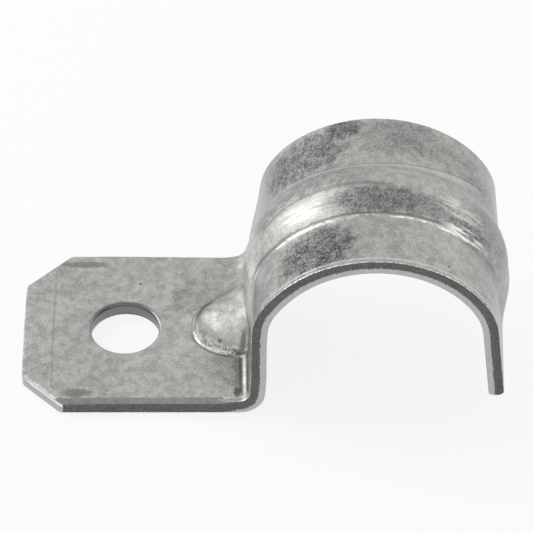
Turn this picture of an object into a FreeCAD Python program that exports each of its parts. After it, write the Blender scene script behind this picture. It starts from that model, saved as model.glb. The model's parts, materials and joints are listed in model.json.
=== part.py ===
"""One-hole pipe strap for half-inch rigid conduit, pressed from one piece of galvanised sheet.

Frame: the origin is the centre of the screw hole on the wall plane, +X runs along the strap
towards the conduit, Y is the conduit's direction and +Z leaves the wall. Sizes in millimetres.
"""
import FreeCAD, Part
import math
import os

import Sketcher

SIZES = {
    # the blank
    "sheet_thickness": 1.6,
    "strap_width": 21.2,
    "end_distance": 10.5,        # screw hole to the flange's free end
    "corner_chamfer": 4.0,
    "corner_rounding": 1.0,
    "hole_diameter": 7.0,
    "hole_rim_radius": 0.25,
    "shear_roll": 0.25,          # how far the shears round the outer face's edge over
    # the arch, as seen along the conduit; radii are those of the inside
    "arch_offset": 26.0,         # screw hole to the conduit's axis
    "inside_height": 19.9,       # wall plane to the inside of the crown
    "crown_radius": 11.4,
    "crown_half_angle": 60.0,
    "shoulder_radius": 6.8,
    "flange_leg_angle": 5.5,     # each leg spreads from the vertical
    "free_leg_angle": 4.9,
    "free_leg_gap": 2.7,         # wall plane to the free leg's end
    "tip_rounding": 0.4,
    "bend_radius": 1.1,
    # the stiffening bead over the arch
    "bead_width": 7.7,
    "bead_height": 1.1,
    "bead_fade_angle": 16.0,
    "bead_fade_radius": 6.0,
    "bead_fade_length": 3.6,
    "bead_end_flange": 7.0,      # height at which the bead starts to sink on each leg
    "bead_end_free": 9.3,
    # the gusset that the bead runs into
    "gusset_radius": 4.2,
    "gusset_angle": 40.0,
    "gusset_reach": 4.6,         # bend to the gusset's nose, along the flange
    "gusset_sink": 2.85,         # flange's top to the centre of the nose
    # the end of the flange, coined a little lower than the rest
    "coin_length": 3.0,
    "coin_depth": 0.12,
}

doc = FreeCAD.newDocument("conduit_strap")
sheet = doc.addObject("Spreadsheet::Sheet", "sizes")
for row, (name, value) in enumerate(SIZES.items(), start=1):
    sheet.set(f"A{row}", name)
    sheet.set(f"B{row}", str(value))
    sheet.setAlias(f"B{row}", name)
doc.recompute()

body = doc.addObject("PartDesign::Body", "conduit_strap")
body.Label = "conduit_strap"


def size(name):
    """The value of one driving dimension."""
    return float(sheet.get(name))


def origin_plane(role):
    """One of the body's own three planes."""
    return next(item for item in body.Origin.OriginFeatures if item.Role == role)


def bound(text):
    """An expression in which each driving dimension is read from the spreadsheet."""
    for name in sorted(SIZES, key=len, reverse=True):
        text = text.replace(f"[{name}]", f"sizes.{name}")
    return text


class Outline:
    """A sketch on one of the body's planes, drawn as a run of lines and arcs."""

    def __init__(self, name, role):
        self.sketch = body.newObject("Sketcher::SketchObject", name)
        self.sketch.AttachmentSupport = [(origin_plane(role), "")]
        self.sketch.MapMode = "FlatFace"

    def line(self, start, end, construction=False):
        """Add a straight line and return its number."""
        first = FreeCAD.Vector(*start, 0)
        last = FreeCAD.Vector(*end, 0)
        return self.sketch.addGeometry(Part.LineSegment(first, last), construction)

    def arc(self, centre, radius, start_deg, end_deg):
        """Add an anticlockwise arc and return its number."""
        circle = Part.Circle(FreeCAD.Vector(*centre, 0), FreeCAD.Vector(0, 0, 1), radius)
        ends = (math.radians(start_deg), math.radians(end_deg))
        return self.sketch.addGeometry(Part.ArcOfCircle(circle, *ends))

    def rule(self, kind, *where):
        """Add a geometric constraint."""
        return self.sketch.addConstraint(Sketcher.Constraint(kind, *where))

    def measure(self, kind, *where, value, name, driven_by=None):
        """Add a named dimension bound to an expression, or a reference one without it."""
        number = self.rule(kind, *where, value)
        self.sketch.renameConstraint(number, name)
        if driven_by is None:
            self.sketch.setDriving(number, False)
        else:
            self.sketch.setExpression(f"Constraints.{name}", bound(driven_by))
        return number


ORIGIN = -1                      # the sketch's own origin point, in FreeCAD's numbering
START, END, CENTRE = range(1, 4)  # the points of a sketched curve
MARGIN = 2.0                     # how far a cut runs past what it cuts
NEAR = 0.01                      # how close counts as touching, when an edge is looked up
BEAD_ROOT = 1.0                  # how far the bead's cap is drawn below the inner surface

thickness = size("sheet_thickness")
half_angle = size("crown_half_angle")
SIDES = {-1: "flange", 1: "free"}
leg_angles = {-1: size("flange_leg_angle"), 1: size("free_leg_angle")}
crown_centre = FreeCAD.Vector(size("arch_offset"), size("inside_height") - size("crown_radius"), 0)


def heading(degrees):
    """The unit vector at this angle from the sketch's horizontal axis."""
    return FreeCAD.Vector(math.cos(math.radians(degrees)), math.sin(math.radians(degrees)), 0)


def shoulder_centre(side):
    """Centre of the shoulder arc on the flange side (-1) or the free side (1)."""
    step = size("crown_radius") - size("shoulder_radius")
    return crown_centre + heading(90 - side * half_angle) * step


def leg_start(side, skin):
    """Where a leg leaves its shoulder, this far outside the inner surface."""
    outward = heading(leg_angles[side]) if side > 0 else heading(180 - leg_angles[side])
    return shoulder_centre(side) + outward * (size("shoulder_radius") + skin)


def down_leg(side, skin, height):
    """The point of a leg's line at this height above the wall plane."""
    start = leg_start(side, skin)
    drop = start.y - height
    return start + FreeCAD.Vector(side * drop * math.tan(math.radians(leg_angles[side])), -drop, 0)


def bend_centre():
    """Centre of the bend between the flange and its leg."""
    height = thickness + size("bend_radius")
    angle = math.radians(leg_angles[-1])
    outer = down_leg(-1, thickness, height)
    return outer - FreeCAD.Vector(size("bend_radius") / math.cos(angle), 0, 0)


def add_crown(outline, skin, skin_text, sides=(1, -1)):
    """Draw the crown arc, whole or its half on one side, and return its number."""
    radius = size("crown_radius") + skin
    turn = 90 - half_angle
    first = turn if 1 in sides else 90
    last = 180 - turn if -1 in sides else 90
    arc = outline.arc(crown_centre[:2], radius, first, last)
    outline.measure("Radius", arc, value=radius, name="crown",
                    driven_by=f"[crown_radius] + {skin_text}")
    outline.measure("DistanceX", ORIGIN, 1, arc, CENTRE, value=crown_centre.x, name="crown_x",
                    driven_by="[arch_offset]")
    outline.measure("DistanceY", ORIGIN, 1, arc, CENTRE, value=crown_centre.y, name="crown_z",
                    driven_by="[inside_height] - [crown_radius]")
    spread = radius * math.sin(math.radians(half_angle))
    for side in sides:
        ends = (arc, CENTRE, arc, START) if side > 0 else (arc, END, arc, CENTRE)
        outline.measure("DistanceX", *ends, value=spread, name=f"{SIDES[side]}_spread",
                        driven_by=f"([crown_radius] + {skin_text}) * sin([crown_half_angle] * 1deg)")
    return arc


def add_leg(outline, side, skin, skin_text, crown, foot):
    """Draw the shoulder and the leg that follow the crown on one side; return the leg's number."""
    name = SIDES[side]
    radius = size("shoulder_radius") + skin
    angle = leg_angles[side]
    turn = 90 - half_angle
    centre = shoulder_centre(side)
    if side > 0:
        shoulder = outline.arc(centre[:2], radius, angle, turn)
        near, far, crown_end = END, START, START
    else:
        shoulder = outline.arc(centre[:2], radius, 180 - turn, 180 - angle)
        near, far, crown_end = START, END, END
    leg = outline.line(leg_start(side, skin)[:2], foot[:2])
    outline.rule("Tangent", crown, crown_end, shoulder, near)
    outline.rule("Tangent", shoulder, far, leg, START)
    outline.measure("Radius", shoulder, value=radius, name=f"{name}_shoulder",
                    driven_by=f"[shoulder_radius] + {skin_text}")
    outline.measure("Angle", leg, value=side * math.radians(angle) - math.pi / 2,
                    name=f"{name}_leg", driven_by=f"({side} * [{name}_leg_angle] - 90) * 1deg")
    return leg


def draw_outside():
    """The strap seen along the conduit, filled down to the wall plane under its outer skin."""
    outline = Outline("Outside", "XZ_Plane")
    end = -size("end_distance")
    radius = size("bend_radius")
    bend = bend_centre()
    edge = outline.line((end, 0), (end, thickness))
    top = outline.line((end, thickness), (bend.x, thickness))
    corner = outline.arc(bend[:2], radius, -90, -leg_angles[-1])
    flange_foot = bend + heading(-leg_angles[-1]) * radius
    free_foot = down_leg(1, thickness, 0)
    crown = add_crown(outline, thickness, "[sheet_thickness]")
    first_leg = add_leg(outline, -1, thickness, "[sheet_thickness]", crown, flange_foot)
    last_leg = add_leg(outline, 1, thickness, "[sheet_thickness]", crown, free_foot)
    base = outline.line(free_foot[:2], (end, 0))
    outline.rule("Vertical", edge)
    outline.rule("Horizontal", top)
    outline.rule("Coincident", edge, END, top, START)
    outline.rule("Tangent", top, END, corner, START)
    outline.rule("Tangent", corner, END, first_leg, END)
    outline.rule("Coincident", last_leg, END, base, START)
    outline.rule("Coincident", base, END, edge, START)
    outline.rule("Horizontal", base)
    outline.rule("PointOnObject", edge, START, ORIGIN)
    outline.measure("DistanceX", edge, START, ORIGIN, 1, value=-end, name="end",
                    driven_by="[end_distance]")
    outline.measure("DistanceY", edge, START, edge, END, value=thickness, name="thickness",
                    driven_by="[sheet_thickness]")
    outline.measure("Radius", corner, value=radius, name="bend", driven_by="[bend_radius]")
    outline.measure("DistanceX", ORIGIN, 1, corner, START, value=bend.x, name="bend_start")
    return outline.sketch


def draw_inside():
    """All that the pressing leaves empty: inside the arch, past the free leg, under the flange."""
    outline = Outline("Inside", "XZ_Plane")
    radius = size("bend_radius") + thickness
    bend = bend_centre()
    left = -size("end_distance") - MARGIN
    right = down_leg(1, thickness, 0).x + size("bead_height") + MARGIN
    floor = -size("gusset_radius") - size("gusset_sink")
    tip = down_leg(1, 0, size("free_leg_gap"))
    rise = (right - tip.x) * math.tan(math.radians(leg_angles[1]))
    flange_foot = bend + heading(-leg_angles[-1]) * radius
    under = outline.line((left, 0), (bend.x, 0))
    corner = outline.arc(bend[:2], radius, -90, -leg_angles[-1])
    crown = add_crown(outline, 0, "0")
    first_leg = add_leg(outline, -1, 0, "0", crown, flange_foot)
    last_leg = add_leg(outline, 1, 0, "0", crown, tip)
    end = outline.line(tip[:2], (right, tip.y + rise))
    outer = outline.line((right, tip.y + rise), (right, floor))
    low = outline.line((right, floor), (left, floor))
    back = outline.line((left, floor), (left, 0))
    outline.rule("Horizontal", under)
    outline.rule("Tangent", under, END, corner, START)
    outline.rule("Tangent", corner, END, first_leg, END)
    outline.rule("Coincident", last_leg, END, end, START)
    outline.rule("Perpendicular", last_leg, end)
    outline.rule("Coincident", end, END, outer, START)
    outline.rule("Vertical", outer)
    outline.rule("Coincident", outer, END, low, START)
    outline.rule("Horizontal", low)
    outline.rule("Coincident", low, END, back, START)
    outline.rule("Vertical", back)
    outline.rule("Coincident", back, END, under, START)
    outline.rule("PointOnObject", under, START, ORIGIN)
    outline.measure("Radius", corner, value=radius, name="bend",
                    driven_by="[bend_radius] + [sheet_thickness]")
    outline.measure("DistanceY", ORIGIN, 1, last_leg, END, value=tip.y, name="tip",
                    driven_by="[free_leg_gap]")
    outline.measure("DistanceX", back, END, ORIGIN, 1, value=-left, name="left",
                    driven_by=f"[end_distance] + {MARGIN}")
    outline.measure("DistanceX", last_leg, END, outer, END, value=right - tip.x, name="right",
                    driven_by=f"2 * [sheet_thickness] + [bead_height] + {MARGIN}")
    outline.measure("DistanceY", back, START, ORIGIN, 1, value=-floor, name="floor",
                    driven_by="[gusset_radius] + [gusset_sink]")
    return outline.sketch


def draw_bead_path(side):
    """The bead's course along the outer skin, from the crown down to where it has sunk away."""
    name = SIDES[side]
    outline = Outline(f"BeadPath_{name}", "XZ_Plane")
    angle = leg_angles[side]
    fade = size("bead_fade_angle")
    radius = size("bead_fade_radius")
    length = size("bead_fade_length")
    foot = down_leg(side, thickness, size(f"bead_end_{name}"))
    crown = add_crown(outline, thickness, "[sheet_thickness]", sides=(side,))
    outline.rule("Vertical", crown, END if side > 0 else START, crown, CENTRE)
    leg = add_leg(outline, side, thickness, "[sheet_thickness]", crown, foot)
    level, sunk = (angle, angle - fade) if side > 0 else (180 - angle, 180 - angle + fade)
    centre = foot - heading(level) * radius
    turn = outline.arc(centre[:2], radius, min(level, sunk), max(level, sunk))
    near, far = (END, START) if side > 0 else (START, END)
    last = centre + heading(sunk) * radius
    run = outline.line(last[:2], (last + heading(sunk - side * 90) * length)[:2])
    outline.rule("Tangent", leg, END, turn, near)
    outline.rule("Tangent", turn, far, run, START)
    outline.measure("Radius", turn, value=radius, name="turn", driven_by="[bead_fade_radius]")
    outline.measure("DistanceY", ORIGIN, 1, leg, END, value=foot.y, name="end",
                    driven_by=f"[bead_end_{name}]")
    outline.measure("Distance", run, value=length, name="run", driven_by="[bead_fade_length]")
    slope = side * math.radians(angle - fade) - math.pi / 2
    outline.measure("Angle", run, value=slope, name="slope",
                    driven_by=f"({side} * ([{name}_leg_angle] - [bead_fade_angle]) - 90) * 1deg")
    return outline.sketch


CAP_RADIUS = "([bead_width]^2 / 4 + [bead_height]^2) / (2 * [bead_height])"


def draw_bead_section(name, skin, skin_text):
    """The bead's round cap, this far outside its hollow, closed off below the inner surface."""
    outline = Outline(name, "YZ_Plane")
    outline.sketch.setExpression("AttachmentOffset.Base.z", bound("[arch_offset]"))
    width = size("bead_width")
    height = size("bead_height")
    cap = (width ** 2 / 4 + height ** 2) / (2 * height)
    radius = cap - thickness + skin
    centre = size("inside_height") + thickness + height - cap
    chord = size("inside_height") - BEAD_ROOT
    half = math.sqrt(radius ** 2 - (chord - centre) ** 2)
    turn = math.degrees(math.atan2(chord - centre, half))
    arc = outline.arc((0, centre), radius, turn, 180 - turn)
    base = outline.line((-half, chord), (half, chord))
    outline.rule("Coincident", arc, END, base, START)
    outline.rule("Coincident", base, END, arc, START)
    outline.rule("Horizontal", base)
    outline.rule("PointOnObject", arc, CENTRE, -2)
    outline.measure("Radius", arc, value=radius, name="cap",
                    driven_by=f"{CAP_RADIUS} - [sheet_thickness] + {skin_text}")
    outline.measure("DistanceY", ORIGIN, 1, arc, CENTRE, value=centre, name="cap_z",
                    driven_by=f"[inside_height] + [sheet_thickness] + [bead_height] - ({CAP_RADIUS})")
    outline.measure("DistanceY", ORIGIN, 1, base, START, value=chord, name="root_z",
                    driven_by=f"[inside_height] - {BEAD_ROOT}")
    return outline.sketch


def draw_gusset(name, skin, skin_text):
    """Half of a round-nosed bar leaning into the corner, this far outside the gusset's hollow."""
    outline = Outline(name, "XZ_Plane")
    tilt = size("gusset_angle")
    radius = size("gusset_radius") - thickness + skin
    length = size("crown_radius")
    sink = size("gusset_sink")
    set_back = math.sqrt(size("gusset_radius") ** 2 - sink ** 2)
    nose_x = bend_centre().x - size("gusset_reach") + set_back
    nose = FreeCAD.Vector(nose_x, thickness - sink, 0)
    along = heading(tilt)
    above = heading(tilt + 90)
    tip = nose - along * radius
    far = nose + along * length
    round_nose = outline.arc(nose[:2], radius, tilt + 90, tilt + 180)
    ridge = outline.line((nose + above * radius)[:2], (far + above * radius)[:2])
    back = outline.line((far + above * radius)[:2], far[:2])
    middle = outline.line(far[:2], tip[:2])
    axis = outline.line(far[:2], nose[:2], construction=True)
    outline.rule("Tangent", round_nose, START, ridge, START)
    outline.rule("Coincident", ridge, END, back, START)
    outline.rule("Perpendicular", ridge, back)
    outline.rule("Coincident", back, END, middle, START)
    outline.rule("Parallel", ridge, middle)
    outline.rule("Coincident", middle, END, round_nose, END)
    outline.rule("PointOnObject", round_nose, CENTRE, middle)
    outline.rule("Coincident", axis, START, middle, START)
    outline.rule("Coincident", axis, END, round_nose, CENTRE)
    outline.measure("Radius", round_nose, value=radius, name="nose",
                    driven_by=f"[gusset_radius] - [sheet_thickness] + {skin_text}")
    outline.measure("Angle", ridge, value=math.radians(tilt), name="tilt",
                    driven_by="[gusset_angle] * 1deg")
    outline.measure("Distance", ridge, value=length, name="length", driven_by="[crown_radius]")
    outline.measure("DistanceX", ORIGIN, 1, round_nose, CENTRE, value=nose.x, name="nose_x",
                    driven_by="Outside.Constraints.bend_start - [gusset_reach] * 1mm"
                              " + sqrt([gusset_radius]^2 - [gusset_sink]^2) * 1mm")
    outline.measure("DistanceY", round_nose, CENTRE, ORIGIN, 1, value=-nose.y, name="nose_depth",
                    driven_by="[gusset_sink] - [sheet_thickness]")
    return outline.sketch


def checked(feature):
    """Recompute, and stop with a message if the feature has failed."""
    doc.recompute()
    shape = feature.Shape
    if "Invalid" in feature.State or "Error" in feature.State or shape.isNull() or not shape.isValid():
        raise RuntimeError(f"{feature.Name} failed: {feature.State}")
    return feature


def feature(kind, name, **settings):
    """Add one feature to the body, set it up and check it."""
    item = body.newObject(f"PartDesign::{kind}", name)
    for key, value in settings.items():
        setattr(item, key, value)
    return checked(item)


def sweep_bead(kind, name, section):
    """Add or cut the bead on both sides of the crown."""
    for side, path in bead_paths.items():
        feature(kind, f"{name}_{SIDES[side]}", Profile=(section, []), Spine=(path, []), Mode="Standard")


def turn_gusset(kind, name, half_section):
    """Add or cut the gusset's round-nosed bar by turning its half section about its axis."""
    feature(kind, name, Profile=(half_section, []), ReferenceAxis=(half_section, ["Axis0"]), Angle=360.0)


def edges(item, test):
    """Names of the edges of a feature's shape that pass a test of their bounding box."""
    found = [f"Edge{number}" for number, edge in enumerate(item.Shape.Edges, start=1) if test(edge)]
    if not found:
        raise RuntimeError(f"no edge found on {item.Name}")
    return found


def draw_coin():
    """The strip across the flange's free end that the press leaves a little lower."""
    outline = Outline("CoinedEnd", "XY_Plane")
    outline.sketch.setExpression("AttachmentOffset.Base.z", bound("[sheet_thickness] - [coin_depth]"))
    left = -size("end_distance") - MARGIN
    right = -size("end_distance") + size("coin_length")
    half = size("strap_width") / 2 + MARGIN
    corners = [(left, -half), (right, -half), (right, half), (left, half)]
    sides = [outline.line(corners[n], corners[(n + 1) % 4]) for n in range(4)]
    for n, side in enumerate(sides):
        outline.rule("Coincident", side, END, sides[(n + 1) % 4], START)
    outline.rule("Horizontal", sides[0])
    outline.rule("Vertical", sides[1])
    outline.rule("Horizontal", sides[2])
    outline.rule("Symmetric", sides[0], START, sides[3], START, ORIGIN)
    outline.measure("DistanceX", sides[0], START, ORIGIN, 1, value=-left, name="left",
                    driven_by=f"[end_distance] + {MARGIN}")
    outline.measure("DistanceX", sides[0], value=right - left, name="length",
                    driven_by=f"[coin_length] + {MARGIN}")
    outline.measure("DistanceY", sides[1], value=2 * half, name="width",
                    driven_by=f"[strap_width] + {2 * MARGIN}")
    return outline.sketch


def draw_hole():
    """The screw hole, about the origin."""
    outline = Outline("HoleCircle", "XY_Plane")
    radius = size("hole_diameter") / 2
    circle = Part.Circle(FreeCAD.Vector(0, 0, 0), FreeCAD.Vector(0, 0, 1), radius)
    hole = outline.sketch.addGeometry(circle, False)
    outline.rule("Coincident", hole, CENTRE, ORIGIN, 1)
    outline.measure("Diameter", hole, value=2 * radius, name="diameter", driven_by="[hole_diameter]")
    return outline.sketch


def at_flange_corner(edge):
    """True for the two upright edges at the flange's free end."""
    box = edge.BoundBox
    outer = abs(abs(box.Center.y) - size("strap_width") / 2) < NEAR
    return outer and box.XMax < NEAR - size("end_distance") and box.YLength < NEAR


def at_chamfer(edge):
    """True for the upright edges that bound the two chamfers."""
    box = edge.BoundBox
    upright = box.XLength < NEAR and box.YLength < NEAR and box.ZLength > NEAR
    return upright and box.XMax < size("corner_chamfer") - size("end_distance") + NEAR


def at_outer_edge(edge):
    """True for the outer face's edges along both sides of the strap and round the flange's end."""
    middle = edge.valueAt((edge.FirstParameter + edge.LastParameter) / 2)
    seam = edge.BoundBox.YLength > size("strap_width") - NEAR
    return middle.z > thickness - NEAR and not seam


def at_hole_rim(edge):
    """True for the hole's upper rim."""
    box = edge.BoundBox
    centred = abs(box.Center.x) < NEAR and abs(box.Center.y) < NEAR
    return centred and box.ZMin > size("sheet_thickness") - NEAR and box.XLength > NEAR


def at_tip(edge):
    """True for the two long edges at the free leg's end."""
    box = edge.BoundBox
    low = abs(box.ZMax - box.ZMin) < NEAR and box.ZMin > NEAR
    return low and box.XMin > size("arch_offset") and box.YLength > size("strap_width") / 2


outside = draw_outside()
block = feature("Pad", "Block", Profile=(outside, []), Type="Length", Midplane=True)
block.setExpression("Length", bound("[strap_width]"))
checked(block)
corners = feature("Chamfer", "Corners", Base=(block, edges(block, at_flange_corner)))
corners.setExpression("Size", bound("[corner_chamfer]"))
checked(corners)
rounding = feature("Fillet", "CornerRounding", Base=(corners, edges(corners, at_chamfer)), Radius=0.5)
rounding.setExpression("Radius", bound("[corner_rounding]"))
checked(rounding)
roll = feature("Fillet", "ShearRoll", Base=(rounding, edges(rounding, at_outer_edge)), Radius=0.1)
roll.setExpression("Radius", bound("[shear_roll]"))
checked(roll)
bead_paths = {side: draw_bead_path(side) for side in SIDES}
sweep_bead("AdditivePipe", "Bead", draw_bead_section("BeadOutside", thickness, "[sheet_thickness]"))
turn_gusset("Revolution", "Gusset", draw_gusset("GussetOutside", thickness, "[sheet_thickness]"))
clearance = feature("Pocket", "Clearance", Profile=(draw_inside(), []), Type="Length", Midplane=True)
clearance.setExpression("Length", bound("[strap_width] * 2"))
checked(clearance)
turn_gusset("Groove", "GussetHollow", draw_gusset("GussetInside", 0, "0"))
sweep_bead("SubtractivePipe", "BeadHollow", draw_bead_section("BeadInside", 0, "0"))
coin = feature("Pocket", "Coin", Profile=(draw_coin(), []), Type="Length", Reversed=True)
coin.setExpression("Length", bound("[coin_depth] + [sheet_thickness]"))
feature("Pocket", "ScrewHole", Profile=(draw_hole(), []), Type="ThroughAll", Midplane=True)
rim = feature("Fillet", "HoleRim", Base=(body.Tip, edges(body.Tip, at_hole_rim)), Radius=0.1)
rim.setExpression("Radius", bound("[hole_rim_radius]"))
checked(rim)
tip = feature("Fillet", "TipRounding", Base=(body.Tip, edges(body.Tip, at_tip)), Radius=0.1)
tip.setExpression("Radius", bound("[tip_rounding]"))
checked(tip)

for item in doc.Objects:
    if "Invalid" in item.State or "Error" in item.State:
        raise RuntimeError(f"{item.Name} failed: {item.State}")
strap = body.Shape
if strap.isNull() or not strap.isValid() or len(strap.Solids) != 1:
    raise RuntimeError("the strap is not one valid solid")
os.makedirs("parts", exist_ok=True)
strap.exportStep(f"parts/{body.Label}.step")
print(f"{body.Label}: {strap.Volume:.1f} cubic millimetres")
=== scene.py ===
"""A one-hole conduit strap, pressed from one strip of galvanised steel, on a pale table."""
import json
import math

import bmesh
import bpy
from mathutils import Matrix, Vector


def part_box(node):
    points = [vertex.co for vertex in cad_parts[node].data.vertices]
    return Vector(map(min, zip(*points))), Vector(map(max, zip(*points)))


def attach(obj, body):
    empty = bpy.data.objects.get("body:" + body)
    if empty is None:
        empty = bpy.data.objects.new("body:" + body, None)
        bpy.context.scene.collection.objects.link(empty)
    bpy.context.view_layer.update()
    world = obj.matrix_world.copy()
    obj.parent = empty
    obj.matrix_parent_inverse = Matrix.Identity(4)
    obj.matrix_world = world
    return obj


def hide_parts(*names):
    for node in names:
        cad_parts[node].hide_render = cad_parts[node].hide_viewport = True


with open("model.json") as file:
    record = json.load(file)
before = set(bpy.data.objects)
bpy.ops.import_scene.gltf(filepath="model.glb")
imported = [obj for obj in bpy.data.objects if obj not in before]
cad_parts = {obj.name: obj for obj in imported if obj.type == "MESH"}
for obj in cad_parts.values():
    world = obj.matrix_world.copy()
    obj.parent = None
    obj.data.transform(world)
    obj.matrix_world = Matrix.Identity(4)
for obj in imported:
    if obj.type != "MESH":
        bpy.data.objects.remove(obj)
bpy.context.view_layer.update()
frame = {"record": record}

# ---- The blank -------------------------------------------------------------------------------
# The strap starts as a flat strip of galvanised steel, cropped to length with two clipped corners
# and a punched screw hole. Its zinc face is z = 0, x runs along the strip from the crown's middle
# to the free leg, y runs across, and every size is in millimetres until the part is formed.
MM = 0.001
strap_low, strap_high = (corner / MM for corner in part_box("conduit_strap"))
mounts = {mount["name"]: mount for mount in frame["record"]["mounts"]}
SHEET = 1.6
HALF_WIDTH = (strap_high.y - strap_low.y) / 2
ARCH_X = mounts["conduit_seat"]["pos_m"][0] / MM
HOLE_RADIUS = mounts["screw_hole"]["dims"]["r_mm"]
CROWN = (13.0, 60.0)
SHOULDER = 8.4
LEAN_FLANGE, LEAN_FREE = 5.5, 4.9
BEND = 1.1
FREE_LEG_GAP = 2.8
CORNER_CLIP = {-1: 4.0, 1: 4.5}
CORNER_ROUND = {-1: 1.0, 1: 1.7}
PITCH = 0.22
SCORED_ROWS = (0.03, 0.08, 0.15)
HOLE_RINGS = (0.38, 0.25, 0.14, 0.06, 0.0)
EIGHTH_TURN = 45.0
CROWN_CENTRE = 8.5
CROWN_TOP = CROWN[0] + CROWN_CENTRE
NEARLY = 0.001
WALL_CUTS = 6


def runs(lean, leg, bend_and_flange):
    """The strip from the crown's middle outwards, as (radius, degrees) arcs and (None, length) flats."""
    path = [CROWN, (SHOULDER, 90 - lean - CROWN[1]), (None, leg)]
    if bend_and_flange:
        path += [(-BEND, 90 - lean), (None, bend_and_flange)]
    return path


def leg_length(lean, foot):
    """The flat of a leg that ends at this height."""
    drop = CROWN[0] * (1 - math.cos(math.radians(CROWN[1])))
    drop += SHOULDER * (math.cos(math.radians(CROWN[1])) - math.sin(math.radians(lean)))
    return (CROWN_TOP - drop - foot) / math.cos(math.radians(lean))


def length_of(path):
    """The whole length of the strip along this path."""
    return sum(size if radius is None else abs(radius) * math.radians(size) for radius, size in path)


def walk(path, distance):
    """Where the zinc face is at this distance from the crown's middle: outwards, up, and its heading."""
    out, up, heading = 0.0, CROWN_TOP, 0.0
    for radius, size in path:
        whole = size if radius is None else abs(radius) * math.radians(size)
        step = distance if (radius, size) == path[-1] else min(distance, whole)
        if radius is None:
            out += step * math.cos(heading)
            up -= step * math.sin(heading)
        else:
            turned = heading + step / radius
            out += radius * (math.sin(turned) - math.sin(heading))
            up -= radius * (math.cos(heading) - math.cos(turned))
            heading = turned
        distance -= step
        if distance <= 0:
            break
    return out, up, heading


bend_foot = SHEET + BEND * (1 - math.sin(math.radians(LEAN_FLANGE)))
flange_leg = leg_length(LEAN_FLANGE, bend_foot)
to_flange = runs(LEAN_FLANGE, flange_leg, NEARLY)
flange_start = ARCH_X - walk(to_flange, length_of(to_flange))[0]
to_flange = runs(LEAN_FLANGE, flange_leg, flange_start - strap_low.x)
to_tip = runs(LEAN_FREE, leg_length(LEAN_FREE, FREE_LEG_GAP), None)
FLANGE_END, TIP = -length_of(to_flange), length_of(to_tip)
HOLE_AT = FLANGE_END - strap_low.x

blank = bmesh.new()
half_length = (TIP - FLANGE_END) / 2
bmesh.ops.create_grid(
    blank,
    x_segments=round((TIP - FLANGE_END) / PITCH),
    y_segments=round(2 * HALF_WIDTH / PITCH),
    size=1,
    matrix=Matrix.Translation(((TIP + FLANGE_END) / 2, 0, 0)) @ Matrix.Diagonal((half_length, HALF_WIDTH, 1, 1)),
)


def cut(point, outwards, keep=False):
    """Shears the blank along a straight line; with keep, only scores an extra row of edges there."""
    everything = blank.verts[:] + blank.edges[:] + blank.faces[:]
    bmesh.ops.bisect_plane(
        blank, geom=everything, dist=1e-5, plane_co=point, plane_no=outwards, clear_outer=not keep
    )


for side in (-1, 1):
    for edge_row in SCORED_ROWS:
        cut((0, side * (HALF_WIDTH - edge_row), 0), (0, side, 0), keep=True)
    clip = Vector((-1, side, 0)).normalized()
    end_corner = Vector((FLANGE_END, side * (HALF_WIDTH - CORNER_CLIP[side]), 0))
    edge_corner = Vector((FLANGE_END + CORNER_CLIP[side], side * HALF_WIDTH, 0))
    cut(end_corner, clip)
    for corner, first in ((end_corner, 0.0), (edge_corner, EIGHTH_TURN)):
        middle = math.radians(first + EIGHTH_TURN / 2)
        to_centre = CORNER_ROUND[side] / math.cos(math.radians(EIGHTH_TURN / 2))
        centre = corner - Vector((-math.cos(middle), side * math.sin(middle), 0)) * to_centre
        for step in range(1, 6):
            angle = math.radians(first + EIGHTH_TURN * step / 6)
            outwards = Vector((-math.cos(angle), side * math.sin(angle), 0))
            cut(centre + outwards * CORNER_ROUND[side], outwards)

hole_middle = Vector((HOLE_AT, 0, 0))
widest = HOLE_RADIUS + HOLE_RINGS[0]
cleared = [face for face in blank.faces if (face.calc_center_median() - hole_middle).length < widest]
bmesh.ops.delete(blank, geom=cleared, context="FACES")
edges = [edge for edge in blank.edges if edge.is_boundary]
rim = [edge for edge in edges if (edge.verts[0].co - hole_middle).length < HOLE_RADIUS + 2]
for radius in HOLE_RINGS:
    if radius < HOLE_RINGS[0]:
        grown = bmesh.ops.extrude_edge_only(blank, edges=rim)["geom"]
        rim = [item for item in grown if isinstance(item, bmesh.types.BMEdge) and item.is_boundary]
    for vert in {vert for edge in rim for vert in edge.verts}:
        vert.co = hole_middle + (vert.co - hole_middle).normalized() * (HOLE_RADIUS + radius)
bmesh.ops.recalc_face_normals(blank, faces=blank.faces)

# The strip gets its thickness, and each point keeps its place on the blank (along, across, depth) for the
# finish: depth is 0 on the outer zinc face and 1 on the inner one.
outer_skin = blank.faces[:]
bmesh.ops.solidify(blank, geom=outer_skin, thickness=SHEET)
middle_height = -SHEET / 2 if min(vert.co.z for vert in blank.verts) < -0.1 else SHEET / 2
for vert in blank.verts:
    vert.co.z = 0.0 if vert.co.z > middle_height else -SHEET
through = [edge for edge in blank.edges if abs(edge.verts[0].co.z - edge.verts[1].co.z) > SHEET / 2]
bmesh.ops.subdivide_edges(blank, edges=through, cuts=WALL_CUTS, use_grid_fill=True)
blank.normal_update()
place = blank.verts.layers.float_vector.new("blank")
sheared = blank.verts.layers.float_vector.new("sheared")


def clip_distance(along, across):
    """How far this point of the blank lies inside the flange's end and its two clipped corners."""
    side = 1 if across > 0 else -1
    clip = (along - FLANGE_END + HALF_WIDTH - abs(across) - CORNER_CLIP[side]) / math.sqrt(2)
    return min(along - FLANGE_END, clip)


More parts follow.
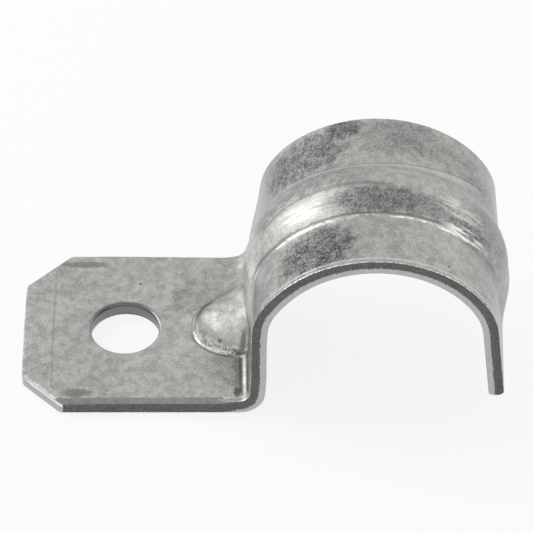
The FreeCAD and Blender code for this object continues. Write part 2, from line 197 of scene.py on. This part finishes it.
for vert in blank.verts:
    along, across = vert.co.xy
    on_cut = any(abs(face.normal.z) < 0.5 for face in vert.link_faces)
    vert[place] = Vector((along, across, -vert.co.z / SHEET))
    vert[sheared] = Vector((
        abs(across) > HALF_WIDTH - NEARLY,
        along < FLANGE_END + 5 and on_cut,
        (vert.co.xy - hole_middle.xy).length < HOLE_RADIUS + NEARLY or along > TIP - NEARLY,
    ))

# ---- The pressing ----------------------------------------------------------------------------
# One stroke of the press folds the strip over the arch, rolls a stiffening bead along the middle of the
# crown and legs, and drives a round-nosed gusset into the corner between the flange and its leg.
BEAD_MIDDLE, BEAD_HALF, BEAD_HEIGHT = -0.13, 3.84, 1.1
BEAD_RADIUS = (BEAD_HALF**2 + BEAD_HEIGHT**2) / (2 * BEAD_HEIGHT)
BEAD_FREE_FADE = (2.2, 7.8)
BEAD_FLANGE_FADE = (2.0, 7.0)
BEAD_LEFT_ON_LEG, BEAD_GONE = 0.35, (10.0, 12.5)
BEAD_CREASE_NEAR, BEAD_CREASE_FAR = 0.08, 0.4
GUSSET_X, GUSSET_Y = 11.4, -0.3
GUSSET_NOSE, GUSSET_NEAR, GUSSET_FAR = 4.2, 3.5, 3.9
GUSSET_HEIGHT, GUSSET_RISE, GUSSET_SWOOP, GUSSET_FLARE = 3.25, 0.3, 0.1, 0.4
GUSSET_DENTS = (
    (9.6, -0.9, 0.5, 0.1), (10.6, -2.2, 0.45, 0.09), (10.4, 0.2, 0.5, -0.07),
    (9.2, -2.0, 0.35, -0.07), (11.6, -1.0, 0.6, -0.08),
)
GUSSET_CREASE, GUSSET_FAR_BLEND = 0.25, 3.7
BEND_FILL, BEND_FILL_REACH = 0.36, 2.3
FLANGE_SPREAD, END_SKEW = 0.016, 0.17


def ease(start, end, value):
    """0 up to start, 1 from end on, and a smooth step between."""
    share = min(max((value - start) / (end - start), 0.0), 1.0)
    return share * share * (3 - 2 * share)


def soft_max(first, second, width):
    """The larger of two heights, with a fillet where they differ by less than this width."""
    overlap = max(width - abs(first - second), 0.0)
    return max(first, second) + overlap * overlap / (4 * width)


def bead(along, across):
    """How far the bead stands out of the sheet."""
    legs = length_of(to_tip[:2])
    if along > 0:
        height = BEAD_HEIGHT * (1 - ease(*BEAD_FREE_FADE, along - legs))
    else:
        height = BEAD_HEIGHT - (BEAD_HEIGHT - BEAD_LEFT_ON_LEG) * ease(*BEAD_FLANGE_FADE, -along - legs)
        height *= 1 - ease(*BEAD_GONE, -along - legs)
    off = across - BEAD_MIDDLE
    arc = math.sqrt(max(BEAD_RADIUS**2 - off * off, 0.0)) - (BEAD_RADIUS - BEAD_HEIGHT)
    crease = BEAD_CREASE_NEAR if off < 0 else BEAD_CREASE_FAR
    return soft_max(arc, 0.0, crease) * height / BEAD_HEIGHT


def gusset_height(x, across):
    """The gusset's surface over the flange's top, below it outside the gusset."""
    side = across - GUSSET_Y
    reach = GUSSET_NEAR if side < 0 else GUSSET_FAR + GUSSET_FLARE * max(x - GUSSET_X + 2.5, 0.0)
    ahead = max(GUSSET_X - x, 0.0)
    power = 2.0 if side < 0 else 1.75
    share = ((ahead / GUSSET_NOSE) ** power + (abs(side) / reach) ** power) ** (1 / power)
    if share >= 1:
        return (1 - share) * 6
    ridge = GUSSET_HEIGHT + GUSSET_RISE * (x - GUSSET_X) + GUSSET_SWOOP * (x - GUSSET_X) ** 2
    dome = math.sqrt(1 - 0.92 * (side / reach) ** 2)
    return ridge * dome * (1 - share**3.2) ** 0.6 + dents(x, across)


def dents(x, across):
    """The small uneven dents that the round nose of the punch leaves on the gusset."""
    return sum(
        depth * math.exp(-(((x - left) / wide) ** 2) - ((across - middle) / wide) ** 2)
        for left, middle, wide, depth in GUSSET_DENTS
    )


def gusset(point):
    """How far this point of the corner moves out, up and away from the corner at 45 degrees."""
    low, high = -5.0, 7.0
    for _ in range(26):
        move = (low + high) / 2
        at = move / math.sqrt(2)
        if point.z + at < SHEET + gusset_height(point.x - at, point.y):
            low = move
        else:
            high = move
    return low


def twist(point):
    """The leg on the flange's side isn't bent quite square: it leans more at one edge than at the other."""
    share = -0.3 + 0.52 * ease(3.0, 12.0, point.z)
    share *= 1 - ease(12.0, 18.0, point.z)
    share *= ease(2.0, 9.5, point.x)
    return share * point.y / HALF_WIDTH


def bend_fill(along, across):
    """Towards its far edge the bend under the arch is rounder, so the corner is filled a little more."""
    from_bend = (along - FLANGE_END - to_flange[-1][1] - BEND * 0.75) / BEND_FILL_REACH
    return BEND_FILL / math.sqrt(2) * max(1 - from_bend**2, 0.0) ** 2 * ease(1.5, 7.0, across)


# The shears and the punch drag the zinc face down as they go in. Each rounded edge is (how wide, how deep).
ROLL_FLANGE, ROLL_ARCH = (0.55, 0.38), (0.2, 0.05)
ROLL_END, ROLL_HOLE, ROLL_TIP = (0.2, 0.1), (0.42, 0.36), (0.45, 0.45)
HOLE_BREAKOUT = 0.13
PAD_SIDE, PAD_HALF, PAD_CORNER, PAD_DIP = -7.45, 9.4, 1.6, 0.07


def rolled(distance, size):
    """How deep an edge of this size is rounded at this distance from the cut."""
    width, depth = size
    share = 1 - min(max(distance / width, 0.0), 1.0)
    return depth * (1 - math.sqrt(1 - share * share))


def edge_roll(along, across):
    """How far the zinc face has sunk here, beside the cut edges and outside the press's holding pad."""
    on_flange = 1 - ease(-2.5, 0.5, along - FLANGE_END - to_flange[-1][1])
    side = HALF_WIDTH - abs(across)
    sunk = max(rolled(side, ROLL_FLANGE) * on_flange * (across < 0), rolled(side, ROLL_ARCH))
    sunk = max(sunk, rolled(clip_distance(along, across), ROLL_END))
    sunk = max(sunk, rolled(math.hypot(along - hole_middle.x, across) - HOLE_RADIUS, ROLL_HOLE))
    x = along - hole_middle.x
    past_corner = Vector((max(PAD_SIDE + PAD_CORNER - x, 0.0), max(abs(across) - PAD_HALF + PAD_CORNER, 0.0)))
    past = past_corner.length - PAD_CORNER
    return sunk + PAD_DIP * ease(0.0, 0.3, past) * (1 - ease(-5.0, -1.0, x))


def press(vert):
    """Where this point of the blank ends up once the strap is folded and pressed, in millimetres."""
    along, across, depth = vert[place]
    sunk = edge_roll(along, across) / SHEET
    tip = rolled(TIP - along, ROLL_TIP) / SHEET
    layer = tip + (sunk + (1 - sunk) * depth) * (1 - 2 * tip)
    from_hole = Vector((along - hole_middle.x, across))
    if from_hole.length < HOLE_RADIUS + 0.45:
        opened = HOLE_BREAKOUT * ease(0.6, 1.0, depth) * (1 - ease(0.0, 0.4, from_hole.length - HOLE_RADIUS))
        along += from_hole.normalized().x * opened
        across += from_hole.normalized().y * opened
    towards_end = max(1 - (along - FLANGE_END) / to_flange[-1][1], 0.0)
    along += END_SKEW * towards_end * max(-across, 0.0) / HALF_WIDTH
    across *= 1 + FLANGE_SPREAD * towards_end
    path = to_tip if along > 0 else to_flange
    way = 1 if along > 0 else -1
    out, up, heading = walk(path, abs(along))
    normal = Vector((way * math.sin(heading), 0, math.cos(heading)))
    point = Vector((ARCH_X + way * out, across, up))
    point += normal * bead(along, across)
    if way < 0 and point.x > 3 and point.z < 13 and abs(across) < 9:
        out = gusset(point)
        move = soft_max(out, 0.0, GUSSET_CREASE + GUSSET_FAR_BLEND * ease(GUSSET_Y - 0.5, 3.5, across))
        point += Vector((-move, 0, move)) / math.sqrt(2)
    if way < 0:
        fill = bend_fill(along, across)
        point += Vector((-fill + twist(point), 0, fill))
    return point - normal * layer * SHEET


for vert in blank.verts:
    vert.co = press(vert) * MM

blank.normal_update()
for edge in blank.edges:
    edge.smooth = edge.calc_face_angle(0) < math.radians(50)
for face in blank.faces:
    face.smooth = True
strap_mesh = bpy.data.meshes.new("pressed_strap")
blank.to_mesh(strap_mesh)
blank.free()
strap = bpy.data.objects.new("pressed_strap", strap_mesh)
bpy.context.collection.objects.link(strap)


# ---- The zinc --------------------------------------------------------------------------------
# The strip was dipped in molten zinc before it was pressed. The coat has gone matte: a soft spangle of
# pale and darker patches with fine grey specks, with dark patches of painted shade and pale patches of painted
# sheen over it for reflections.
class Value:
    """One output of a shader node, with sums written as Python expressions."""

    def __init__(self, tree, socket):
        self.tree, self.socket = tree, socket

    def math(self, operation, *others):
        return node(self.tree, "ShaderNodeMath", {"operation": operation}, self, *others)[0]

    def __add__(self, other):
        return self.math("ADD", other)

    def __sub__(self, other):
        return self.math("SUBTRACT", other)

    def __rsub__(self, other):
        return (self * -1).math("ADD", other)

    def __mul__(self, other):
        return self.math("MULTIPLY", other)

    def __truediv__(self, other):
        return self.math("DIVIDE", other)

    __radd__ = __add__
    __rmul__ = __mul__

    def size(self):
        return self.math("ABSOLUTE")

    def ramp(self, start, end):
        """0 at start and 1 at end, as a smooth step."""
        return node(self.tree, "ShaderNodeMapRange", {"interpolation_type": "SMOOTHSTEP"}, self, start, end)[0]

    def line(self, edge, core):
        """A line along the zero of this value: 1 up to core from it, and 0 from edge on."""
        return self.size().ramp(edge, core)


def most(first, *others):
    """The largest of these values at each point."""
    for other in others:
        first = first.math("MAXIMUM", other)
    return first


def node(tree, kind, settings, *inputs, **named):
    """A new shader node with these settings and inputs; its outputs come back in order."""
    made = tree.nodes.new(kind)
    for key, value in settings.items():
        setattr(made, key, value)
    by_name = [(name.replace("_", " "), value) for name, value in named.items()]
    for key, value in list(enumerate(inputs)) + by_name:
        if isinstance(value, Value):
            tree.links.new(value.socket, made.inputs[key])
        elif value is not None:
            made.inputs[key].default_value = value
    return [Value(tree, output) for output in made.outputs if output.enabled]


def material(name):
    """A new material of this name with an empty node tree."""
    made = bpy.data.materials.new(name)
    made.use_nodes = True
    made.node_tree.nodes.clear()
    return made, made.node_tree


def finish_with(tree, color, roughness, metallic, normal=None):
    """Ends the tree in one shader with these values or links."""
    looks = {"Base_Color": color, "Roughness": roughness, "Metallic": metallic, "Normal": normal}
    shader = node(tree, "ShaderNodeBsdfPrincipled", {}, **looks)[0]
    node(tree, "ShaderNodeOutputMaterial", {}, Surface=shader)


def mix(tree, amount, first, second):
    """The first colour at 0, the second at 1; the node's five other sockets are for numbers and vectors."""
    return node(tree, "ShaderNodeMix", {"data_type": "RGBA"}, amount, *[None] * 5, first, second)[0]


zinc, tree = material("galvanised_zinc")
spot = node(tree, "ShaderNodeTexCoord", {})[3]
blank_place = node(tree, "ShaderNodeAttribute", {"attribute_name": "blank"})[1]
along, across, depth = node(tree, "ShaderNodeSeparateXYZ", {}, blank_place)
flange_x = along - hole_middle.x
clouds = node(tree, "ShaderNodeTexNoise", {}, spot, Scale=260.0, Detail=3.0, Roughness=0.55)[0]
spangle = node(tree, "ShaderNodeTexNoise", {}, spot, Scale=1100.0, Detail=3.0, Roughness=0.65)[0]
specks = node(tree, "ShaderNodeTexNoise", {}, spot, Scale=4800.0, Detail=2.0, Roughness=0.6)[0]
stretched_place = node(tree, "ShaderNodeCombineXYZ", {}, along * 0.35, across * 3.2, 0.0)[0]
stretched_noise = node(tree, "ShaderNodeTexNoise", {}, stretched_place, Scale=1.0, Detail=2.0, Roughness=0.6)[0]
outer = depth.ramp(0.4, 0.2)
# The colours of painted shade lines and of painted highlights.
SHADE_LINE_COLOR, HIGHLIGHT_COLOR = (0.1, 0.105, 0.1, 1), (0.9, 0.9, 0.84, 1)


def patch(left, middle, long_radius, cross_radius, ragged=0.6, first=None):
    """1 inside an oval of the blank round this point, fading out over a ragged border."""
    away = ((first or along) - left) / long_radius
    beside = (across - middle) / cross_radius
    return (away * away + beside * beside + (spangle - 0.5) * ragged).ramp(1.5, 0.2)


# Painted shade: dark patches with coarse specks stand for dark reflections; along, across, how long, how wide,
# how strong.
painted_shade = patch(-6.6, -7.6, 4.8, 3.5)
for left, middle, long_radius, cross_radius, strength in (
    (0.4, -2.1, 5.6, 1.6, 0.75), (5.4, -2.2, 3.6, 1.3, 0.65), (9.8, -2.75, 3.6, 0.9, 0.75),
    (-8.4, 6.9, 5.5, 3.4, 0.85), (-3.6, 9.4, 2.4, 1.6, 0.85), (2.5, 8.0, 6.0, 2.8, 0.4),
    (12.8, -0.6, 4.2, 2.8, 0.35), (-17.5, -8.6, 4.0, 2.4, 0.35), (9.0, 6.8, 3.5, 2.2, 0.3),
    (-31.8, 4.2, 3.0, 3.0, 0.25), (-15.5, -8.4, 3.2, 2.2, 0.5), (13.0, 4.5, 3.0, 3.0, 0.25),
    (-28.9, -6.0, 1.7, 2.7, 0.32), (14.8, -5.0, 3.4, 0.8, 0.35), (11.2, 5.6, 3.0, 0.8, 0.4),
):
    painted_shade = most(painted_shade, patch(left, middle, long_radius, cross_radius) * strength)
grain = specks.ramp(0.42, 0.6) * 0.65 + spangle.ramp(0.38, 0.62) * 0.35
tone = clouds.ramp(0.3, 0.7) * 0.25 + spangle.ramp(0.38, 0.62) * 0.4 + specks.ramp(0.38, 0.62) * 0.35
color = mix(tree, tone, (0.265, 0.27, 0.254, 1), (0.5, 0.505, 0.478, 1))
painted_shade_color = mix(tree, grain, (0.04, 0.044, 0.046, 1), (0.25, 0.255, 0.25, 1))
color = mix(tree, painted_shade * outer, color, painted_shade_color)
on_gusset = patch(-26.6, -0.6, 4.4, 3.8, 0.2)
steep = along.size().ramp(11.0, 17.5) * flange_x.ramp(13.0, 15.0) * (1 - on_gusset)
lilac = mix(tree, tone, (0.33, 0.33, 0.36, 1), (0.5, 0.5, 0.54, 1))
color = mix(tree, steep * 0.45, color, lilac)
# Painted sheen: pale patches stand for bright reflections on the leg above the gusset, the far side of the bend
# and the gusset.
painted_sheen = most(
    patch(-17.8, -0.8, 4.6, 3.4, 0.4) * 0.55,
    patch(-25.4, 7.0, 2.0, 4.6, 0.3) * 0.6,
    patch(-26.3, -1.4, 2.7, 2.4, 0.8) * 0.62,
    patch(-27.9, -1.8, 0.9, 0.8, 1.0) * 0.9,
)
painted_sheen_color = mix(tree, tone, (0.46, 0.46, 0.44, 1), (0.88, 0.88, 0.85, 1))
color = mix(tree, painted_sheen * outer, color, painted_sheen_color)
# Painted shade on the gusset's upper flank and over two of its highlights.
flank_shade = most(
    patch(-30.0, 1.2, 1.5, 2.0, 0.5) * 0.6,
    patch(-28.9, -0.5, 1.1, 1.0, 0.6) * 0.4,
    patch(-24.2, -0.7, 1.3, 1.5, 0.6) * 0.35,
)
color = mix(tree, flank_shade * outer, color, painted_shade_color)

# Light and shade painted on the bead: a broken painted highlight along its near foot with dark lines beside it,
# a soft pale band and a dark line along its far foot, a dark line along its crest with darker shade behind it,
# and bright highlight streaks over its back.
broken = stretched_noise.ramp(0.38, 0.56) * (spangle.ramp(0.42, 0.54) * 0.85 + 0.15)
broken = broken * (along.ramp(-8.0, 4.0) * 0.45 + 0.55)
near_foot = across + 3.86 + (spangle - 0.5) * 0.35
on_bead = along.ramp(-12.8, -10.5) * most(along.ramp(9.4, 8.0), patch(12.6, -3.8, 0.9, 0.5, 0.1))
near_foot_highlight = near_foot.line(0.15, 0.05) * broken * on_bead
near_foot_shade = (near_foot - 0.26).line(0.2, 0.05) * along.ramp(-19.5, -14.0) * along.ramp(8.0, 5.5)
leg_shade = (near_foot + 0.2).line(0.55, 0.1) * along.ramp(8.0, 10.0) * along.ramp(18.0, 13.5) * 0.8
far_foot = across - 3.55 - along * along * 0.0072 - most(along, 0.0) * 0.08
far_foot_light = far_foot.ramp(0.06, -0.05) * far_foot.ramp(-1.1, -0.25)
far_foot_light = far_foot_light * along.ramp(-13.0, -9.0) * along.ramp(15.0, 9.0)
far_foot_shade = (far_foot - 0.14).line(0.16, 0.03) * along.ramp(-13.0, -9.0) * along.ramp(17.0, 13.0)
from_crest = across + 0.05 + (along + 4.0) * (along + 4.0) * 0.0125 + (spangle - 0.5) * 0.3
crest_shade = from_crest.line(0.4, 0.08) * along.ramp(-14.0, -11.0) * along.ramp(2.5, 0.0)
crest_shade = crest_shade * (stretched_noise.ramp(0.3, 0.5) * 0.6 + 0.4)
back_shade = from_crest.ramp(-0.1, 0.5) * far_foot.ramp(-0.7, -1.3)
back_shade = back_shade * along.ramp(-16.0, -12.0) * along.ramp(1.0, -3.0)
back_shade_color = mix(tree, grain, (0.15, 0.155, 0.155, 1), (0.4, 0.4, 0.4, 1))
highlight_streaks = most(
    patch(8.4, -1.1, 2.8, 1.2, 0.3) * stretched_noise.ramp(0.44, 0.62) * 0.75,
    patch(9.8, -3.4, 2.4, 0.6, 0.5) * stretched_noise.ramp(0.46, 0.54) * 1.5,
)
bead_shade = most(near_foot_shade, leg_shade, far_foot_shade * 0.55, crest_shade * 0.8)
color = mix(tree, bead_shade * outer * 0.6, color, SHADE_LINE_COLOR)
color = mix(tree, back_shade * outer * 0.5, color, back_shade_color)
color = mix(tree, far_foot_light * outer * 0.35, color, (0.62, 0.625, 0.6, 1))
color = mix(tree, most(near_foot_highlight, highlight_streaks * 0.45) * outer, color, HIGHLIGHT_COLOR)

# The holding pad leaves a fine line round the flange and two rubbed marks beside it.
corner_x = most(PAD_SIDE + PAD_CORNER - flange_x, 0.0)
corner_y = most(across.size() - (PAD_HALF - PAD_CORNER), 0.0)
past_pad = (corner_x * corner_x + corner_y * corner_y).math("SQRT") - PAD_CORNER
pad_line = past_pad.line(0.22, 0.0) * flange_x.ramp(-4.5, -6.0)
rubbed = most(patch(-4.6, 9.3, 2.6, 0.55, 0.5, flange_x), patch(-4.9, -9.35, 1.7, 0.6, 0.5, flange_x))
pits = most(
    patch(1.4, 6.5, 0.16, 0.16, 0.1, flange_x),
    patch(7.6, -9.0, 0.16, 0.16, 0.1),
    patch(14.5, -8.0, 0.16, 0.16, 0.1),
    patch(10.9, -3.0, 0.2, 0.12, 0.1, flange_x),
)
color = mix(tree, most(pad_line * 0.3, rubbed * 0.62) * outer, color, (0.12, 0.125, 0.12, 1))
color = mix(tree, pits * outer * 0.8, color, (0.05, 0.05, 0.05, 1))

# In the corner beside the gusset, light and shade are painted: dark lines either side of a painted glint along
# the bend, a dark patch at the kink by the near edge, dark lines along the creases round the gusset, and bright
# glints round its near side and at the near edge.
into_bend = along - (flange_start - strap_low.x + FLANGE_END)
near_bend = across.ramp(-3.9, -4.5) * across.ramp(-9.9, -9.2) * outer
corner_shade = most((into_bend - 0.26).line(0.3, 0.08), (into_bend - 1.05).line(0.16, 0.04))
corner_shade = most(corner_shade, into_bend.ramp(-0.9, 0.2) * into_bend.ramp(0.4, 0.2) * 0.55) * near_bend
glint = (into_bend - 0.68).line(0.18, 0.05) * near_bend * (spangle.ramp(0.35, 0.6) * 0.25 + 0.25)
kink_shade = patch(11.6, -9.2, 0.38, 0.8, 0.4, flange_x)
sparkle = patch(10.3, -10.2, 0.75, 0.3, 0.5, flange_x) * specks.ramp(0.44, 0.52)
pinch_shade = (across + 3.75 + (flange_x - 11.4) * 0.1).line(0.24, 0.05)
pinch_shade = pinch_shade * flange_x.ramp(10.2, 11.0) * flange_x.ramp(12.9, 12.5)
crease = (across + 3.7 - (flange_x - 12.3) * 0.5).line(0.24, 0.04)
crease = crease * flange_x.ramp(11.7, 12.3) * flange_x.ramp(15.4, 13.8)
rim_glint = (across + 3.42 + (flange_x - 11.4) * 0.1 + (specks - 0.5) * 0.2).line(0.1, 0.02)
rim_glint = rim_glint * flange_x.ramp(10.4, 11.0) * flange_x.ramp(12.6, 12.2) * spangle.ramp(0.38, 0.5)
gusset_x, gusset_y = (flange_x - GUSSET_X) / GUSSET_NOSE, (across - GUSSET_Y) / GUSSET_NEAR
from_gusset = (gusset_x * gusset_x + gusset_y * gusset_y).math("SQRT")
lip_glint = (from_gusset - 0.97 + (specks - 0.5) * 0.12).line(0.1, 0.02) * flange_x.ramp(12.0, 11.0)
lip_glint = lip_glint * across.ramp(-0.2, -1.0) * specks.ramp(0.4, 0.5)
flank_glint = (from_gusset - 0.84 + (spangle - 0.5) * 0.3).line(0.17, 0.05)
flank_glint = flank_glint * flange_x.ramp(11.8, 10.4) * across.ramp(-1.2, -1.9)
flank_glint = flank_glint * (spangle.ramp(0.42, 0.56) * 0.7 + 0.3) * specks.ramp(0.36, 0.5)
near_shade = (from_gusset - 1.07).line(0.07, 0.02) * flange_x.ramp(11.8, 10.8) * across.ramp(-0.8, -1.6)
nose_shade = (from_gusset - 0.97).line(0.14, 0.04) * across.ramp(-2.2, -1.0) * flange_x.ramp(11.0, 9.5)
corner_shade = most(corner_shade, most(kink_shade, pinch_shade, crease * 0.8, near_shade * 0.6, nose_shade * 0.55) * outer)
color = mix(tree, corner_shade * 0.8, color, (0.05, 0.05, 0.045, 1))
shine = most(glint, sparkle, most(lip_glint, flank_glint * 0.8, rim_glint) * outer)
color = mix(tree, shine * 0.65, color, HIGHLIGHT_COLOR)

# Painted shade on the rolled strip along the flange's near edge and on the far side of the hole's rolled rim,
# and a painted highlight line beside the near edge of the arch and legs.
near_side = HALF_WIDTH + across
on_flange = flange_x.ramp(13.5, 9.5)
roll_shade = (near_side + (spangle - 0.5) * 0.25).ramp(0.66, 0.5) * on_flange
roll_shade = roll_shade * (spangle.ramp(0.3, 0.7) * 0.35 + 0.32)
edge_highlight = (near_side - 0.55).line(0.22, 0.05) * (1 - on_flange) * 0.35 * outer
from_hole = (flange_x * flange_x + across * across).math("SQRT")
facing_far = (across / from_hole + (spangle - 0.5) * 0.6).ramp(-0.1, 0.7)
hole_rim_shade = from_hole.ramp(HOLE_RADIUS + 0.5, HOLE_RADIUS + 0.2) * facing_far
color = mix(tree, most(roll_shade, hole_rim_shade * 0.85 * outer), color, (0.1, 0.1, 0.105, 1))
color = mix(tree, edge_highlight, color, (0.75, 0.75, 0.74, 1))

# The shears cut partway through, which leaves a smooth pale band, and tear the rest, which is dark and rough.
sheared_place = node(tree, "ShaderNodeAttribute", {"attribute_name": "sheared"})[1]
cut_side, cut_end, cut_round = node(tree, "ShaderNodeSeparateXYZ", {}, sheared_place)
cut_side, cut_end, cut_round = (value.ramp(0.96, 0.985) for value in (cut_side, cut_end, cut_round))
tear = on_flange * 0.4 + 0.57 + (spangle - 0.5) * 0.22 + (specks - 0.5) * 0.3
torn = (tear - depth).ramp(-0.02, 0.02) * cut_side
band = mix(tree, spangle, (0.36, 0.36, 0.38, 1), (0.56, 0.56, 0.59, 1))
tear_color = mix(tree, grain, (0.1, 0.092, 0.088, 1), (0.19, 0.176, 0.167, 1))
in_hole = cut_round * flange_x.ramp(20.0, 19.0)
# Inside the hole the pale band is mixed three quarters towards dark, as painted shade in the recess.
hole_wall = mix(tree, in_hole * 0.75, band, (0.13, 0.13, 0.145, 1))
color = mix(tree, most(cut_side, cut_end, cut_round), color, hole_wall)
clip_glint = cut_end * depth.ramp(0.05, 0.15) * (depth + (spangle - 0.5) * 0.3).ramp(0.42, 0.25)
clip_glint = clip_glint * across.ramp(-6.6, -7.6)
color = mix(tree, clip_glint * 0.9, color, (0.95, 0.93, 0.78, 1))
breakout = (depth + (specks - 0.5) * 0.3).ramp(0.7, 0.8) * in_hole
color = mix(tree, most(torn, breakout * 0.9), color, tear_color)
# Painted glints along the outer edges of the arch and legs, where the burr catches the light.
burr_glint = (across.size() - HALF_WIDTH).line(0.16, 0.03) * (1 - cut_side) * specks.ramp(0.46, 0.6)
burr_glint = burr_glint * (1 - on_flange)
color = mix(tree, burr_glint * 0.85, color, (0.75, 0.75, 0.72, 1))

height = specks * 0.5 + spangle * 0.8 - pits * 2 - corner_shade * 2 + near_foot_highlight
bump = node(tree, "ShaderNodeBump", {}, Strength=0.5, Distance=0.00006, Height=height + torn * specks * 4)[0]
bead_back = patch(-8.5, -1.0, 7.0, 4.0, 0.2)
rough = spangle.ramp(0.3, 0.7) * 0.1 + 0.3 + painted_shade * 0.12 + torn * 0.3 + on_gusset * 0.2
rough = rough + bead_back * (stretched_noise.ramp(0.35, 0.65) * 0.16 + specks.ramp(0.35, 0.65) * 0.1)
finish_with(tree, color, rough, 1 - torn * 0.75, bump)
strap_mesh.materials.append(zinc)

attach(strap, "root")
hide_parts("conduit_strap")

# ---- The table -------------------------------------------------------------------------------
# The strap lies on a plain white sheet, which is kept 0.2 mm lower so that the two don't touch. The sheet
# shows white of itself and keeps only a faint shadow.
TABLE_HALF, TABLE_DROP, TABLE_WHITE = 1.5, 0.0002, 0.85
bench = bmesh.new()
lowered = Matrix.Translation((0, 0, -TABLE_DROP))
bmesh.ops.create_grid(bench, x_segments=1, y_segments=1, size=TABLE_HALF, matrix=lowered)
bench_mesh = bpy.data.meshes.new("table")
bench.to_mesh(bench_mesh)
bench.free()
table = bpy.data.objects.new("table", bench_mesh)
bpy.context.collection.objects.link(table)
paper, tree = material("white_paper")


def seen_white(tree):
    """1 for what is seen directly, in a reflection or through glass, and 0 for light that falls on things."""
    rays = node(tree, "ShaderNodeLightPath", {})
    seen = [ray for ray in rays if ray.socket.name in ("Is Camera Ray", "Is Glossy Ray", "Is Transmission Ray")]
    return sum(seen).math("MINIMUM", 1.0)


plain = node(tree, "ShaderNodeBsdfDiffuse", {}, (0.9, 0.9, 0.9, 1))[0]
lit = node(tree, "ShaderNodeEmission", {}, (1, 1, 1, 1), 1.0)[0]
surface = node(tree, "ShaderNodeMixShader", {}, seen_white(tree) * TABLE_WHITE, plain, lit)[0]
node(tree, "ShaderNodeOutputMaterial", {}, surface)
bench_mesh.materials.append(paper)

# ---- The studio ------------------------------------------------------------------------------
# A white room lights the strap from all round. One broad soft lamp hangs to the upper left, and a weaker
# one to the right lifts the free leg.
ROOM_LEVEL = 0.7
LAMPS = (("left_lamp", (-0.8, 0.29, 0.52), 0.5, 0.24, 1.15), ("right_lamp", (1.0, 0.2, 0.6), 0.6, 0.3, 0.25))
room = bpy.data.worlds.new("room")
bpy.context.scene.world = room
room.use_nodes = True
tree = room.node_tree
tree.nodes.clear()
walls = node(tree, "ShaderNodeBackground", {}, (0.9, 0.92, 0.95, 1), ROOM_LEVEL)[0]
white = node(tree, "ShaderNodeBackground", {}, (1, 1, 1, 1), 1.0)[0]
surroundings = node(tree, "ShaderNodeMixShader", {}, seen_white(tree), walls, white)[0]
node(tree, "ShaderNodeOutputWorld", {}, surroundings)

# The camera looks down at the strap from its near side, from half a metre away.
AZIMUTH, ELEVATION, ROLL = math.radians(1.3), math.radians(44.03), math.radians(-0.64)
CAMERA_DISTANCE, LENS, FILM = 0.5, 329.65, 36.0
LOOK_LEFT, LOOK_UP = 11.25, 10.55
level = math.cos(ELEVATION)
back = Vector((math.sin(AZIMUTH) * level, -math.cos(AZIMUTH) * level, math.sin(ELEVATION)))
target = Vector((ARCH_X - LOOK_LEFT, 0, LOOK_UP)) * MM


def lamp(name, towards, distance, size, power):
    """Hangs a square lamp in this direction from the strap, facing it."""
    light = bpy.data.lights.new(name, "AREA")
    light.size, light.energy = size, power
    holder = bpy.data.objects.new(name, light)
    holder.matrix_world = (
        Matrix.Translation(target + Vector(towards).normalized() * distance)
        @ Vector(towards).to_track_quat("Z", "Y").to_matrix().to_4x4()
    )
    bpy.context.collection.objects.link(holder)


for setting in LAMPS:
    lamp(*setting)

lens = bpy.data.cameras.new("camera")
lens.sensor_width = FILM
lens.lens = LENS
lens.clip_end = 10
camera = bpy.data.objects.new("camera", lens)
right = (-back).cross(Vector((0, 0, 1))).normalized()
up = right.cross(-back)
right, up = right * math.cos(ROLL) + up * math.sin(ROLL), up * math.cos(ROLL) - right * math.sin(ROLL)
turn = Matrix((right, up, back)).transposed().to_4x4()
camera.matrix_world = Matrix.Translation(target + back * CAMERA_DISTANCE) @ turn
bpy.context.collection.objects.link(camera)
bpy.context.scene.camera = camera
bpy.context.scene.view_settings.view_transform = "Standard"
